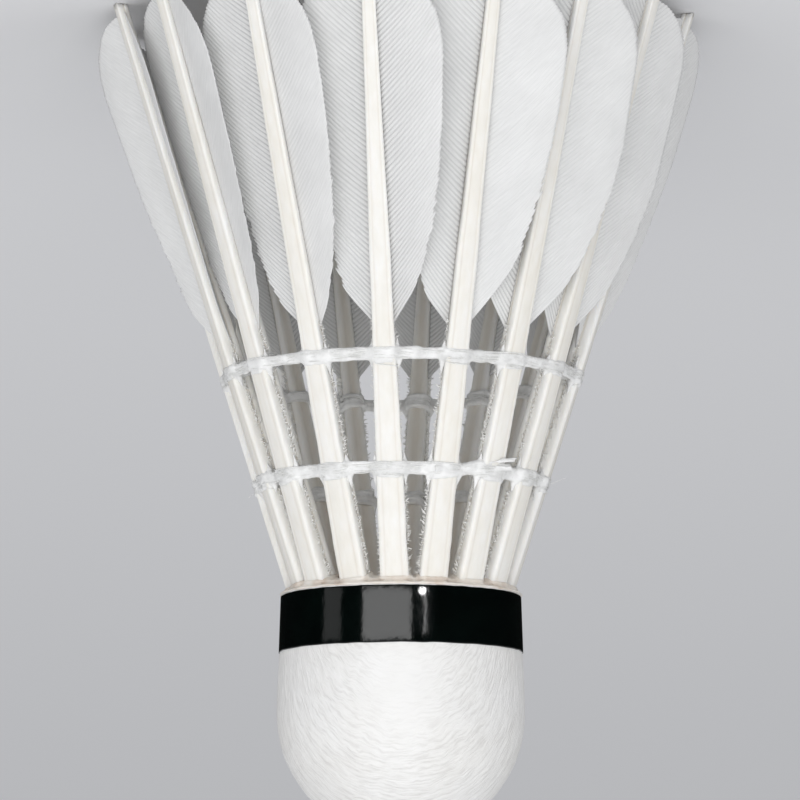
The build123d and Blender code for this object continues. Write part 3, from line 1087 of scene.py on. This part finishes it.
def make_band():
    """Glossy tape round the rim, its edges a little uneven, one end lapped over the other."""
    segments = 540
    angle = np.arange(segments) / segments * TAU
    circle = np.stack([np.cos(angle) * 4, np.sin(angle) * 4, np.zeros(segments)], 1)
    low_edge = 0.10 + lattice_noise(circle, 0.25, 81) * 0.03
    high_edge = lattice_noise(circle, 0.35, 82) * 0.03
    lap = np.where((angle > 1.15) & (angle < 1.50), 0.07, 0.0)
    height = BAND_TOP_Z - RIM_Z
    section = ((0.0, 0.0), (0.0, 0.6), (0.004, 0.9), (0.02, 1.0), (0.25, 1.0), (0.5, 1.0), (0.75, 1.0),
               (0.98, 1.0), (0.996, 0.9), (1.0, 0.6), (1.0, 0.0))
    rings = []
    for share, thick in section:
        radius = RIM_RADIUS + (BAND_END_RADIUS - RIM_RADIUS) * share + (BAND_THICKNESS + lap) * thick - 0.02
        z = RIM_Z + 0.05 + (height - 0.05) * share + low_edge * (1 - share) + high_edge * share
        rings.append(at_angle(radius, angle, z))
    quads = ring_quads(len(section), segments, 0, True)
    add_piece("colour_band_tape", np.concatenate(rings), quads, BAND, ["colour_band"])


# ---------------------------------------------------------------- put it together

feathers = [Feather(number) for number in range(1, FEATHERS + 1)]
for feather in feathers:
    make_feather(feather)
make_binding(feathers, "thread_binding_near_cork", 11)
make_binding(feathers, "thread_binding_near_vanes", 23)
make_root_glue(feathers)
make_leather()
make_band()
for node in ("cork_socket_disc", "cork_nose"):
    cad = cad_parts[node]
    cad.data.materials.clear()
    cad.data.materials.append(CORK)


# ---------------------------------------------------------------- floor, light and camera

def make_floor():
    tree = new_material("floor")
    tree.feed("Base Color", (0.80, 0.80, 0.81, 1))
    tree.feed("Roughness", 0.9)
    tree.feed("Specular IOR Level", 0.1)
    mesh = bpy.data.meshes.new("floor")
    corners = [(x * FLOOR_HALF, y * FLOOR_HALF, 0) for x, y in ((-1, -1), (1, -1), (1, 1), (-1, 1))]
    mesh.from_pydata(corners, [], [(0, 1, 2, 3)])
    mesh.materials.append(tree.owner)
    floor = put("floor", mesh)
    floor.visible_glossy = False


def add_light(name, azimuth, distance, height, aim_height, size, power, use):
    """A soft panel; azimuth 0 stands on the camera's side, positive to the right in the picture.

    A "fill" panel is kept out of reflections and a "gloss" one shows only in them.
    """
    turn = math.radians(azimuth)
    place = Vector((-math.sin(turn) * distance, -math.cos(turn) * distance, height)) * MM
    aim = Vector((0, 0, aim_height * MM))
    light = bpy.data.lights.new(name, "AREA")
    light.shape = "RECTANGLE"
    light.size = size[0] * MM
    light.size_y = size[1] * MM
    light.energy = power
    lamp = put(name, light)
    lamp.location = place
    lamp.rotation_euler = (aim - place).to_track_quat("-Z", "Y").to_euler()
    lamp.visible_camera = False
    lamp.visible_glossy = use != "fill"
    lamp.visible_diffuse = use != "gloss"
    lamp.visible_transmission = use != "gloss"


def make_world():
    """Even studio light from above the floor, and dark below it for the gloss to reflect."""
    world = bpy.data.worlds.new("studio")
    bpy.context.scene.world = world
    tree = Tree(world)
    split = tree.add("SeparateXYZ", {"Vector": tree.add("TexCoord", {}).outputs["Generated"]})
    sky = tree.ramp(split.outputs["Z"], (0.0, grey(0.01)), (0.12, (0.80, 0.81, 0.83)))
    tree.fill(tree.nodes["Background"].inputs["Color"], sky)
    tree.fill(tree.nodes["Background"].inputs["Strength"], 0.72)


def make_camera():
    """A long lens, turned upside down so that the cork is at the bottom of the picture."""
    camera = bpy.data.cameras.new("camera")
    camera.lens = CAMERA_LENS
    camera.sensor_width = 36.0
    camera.clip_start = 0.01
    camera.clip_end = 100.0
    place = put("camera", camera)
    turn = Matrix.Rotation(math.pi / 2 - CAMERA_PITCH, 4, "X") @ Matrix.Rotation(math.pi, 4, "Z")
    spot = Vector((CAMERA_SIDE, -CAMERA_DISTANCE, RIM_Z + CAMERA_ABOVE_RIM)) * MM
    place.matrix_world = Matrix.Translation(spot) @ turn
    bpy.context.scene.camera = place


make_floor()
make_world()
for light in LIGHTS:
    add_light(*light)
make_camera()
bpy.context.scene.view_settings.view_transform = "Standard"
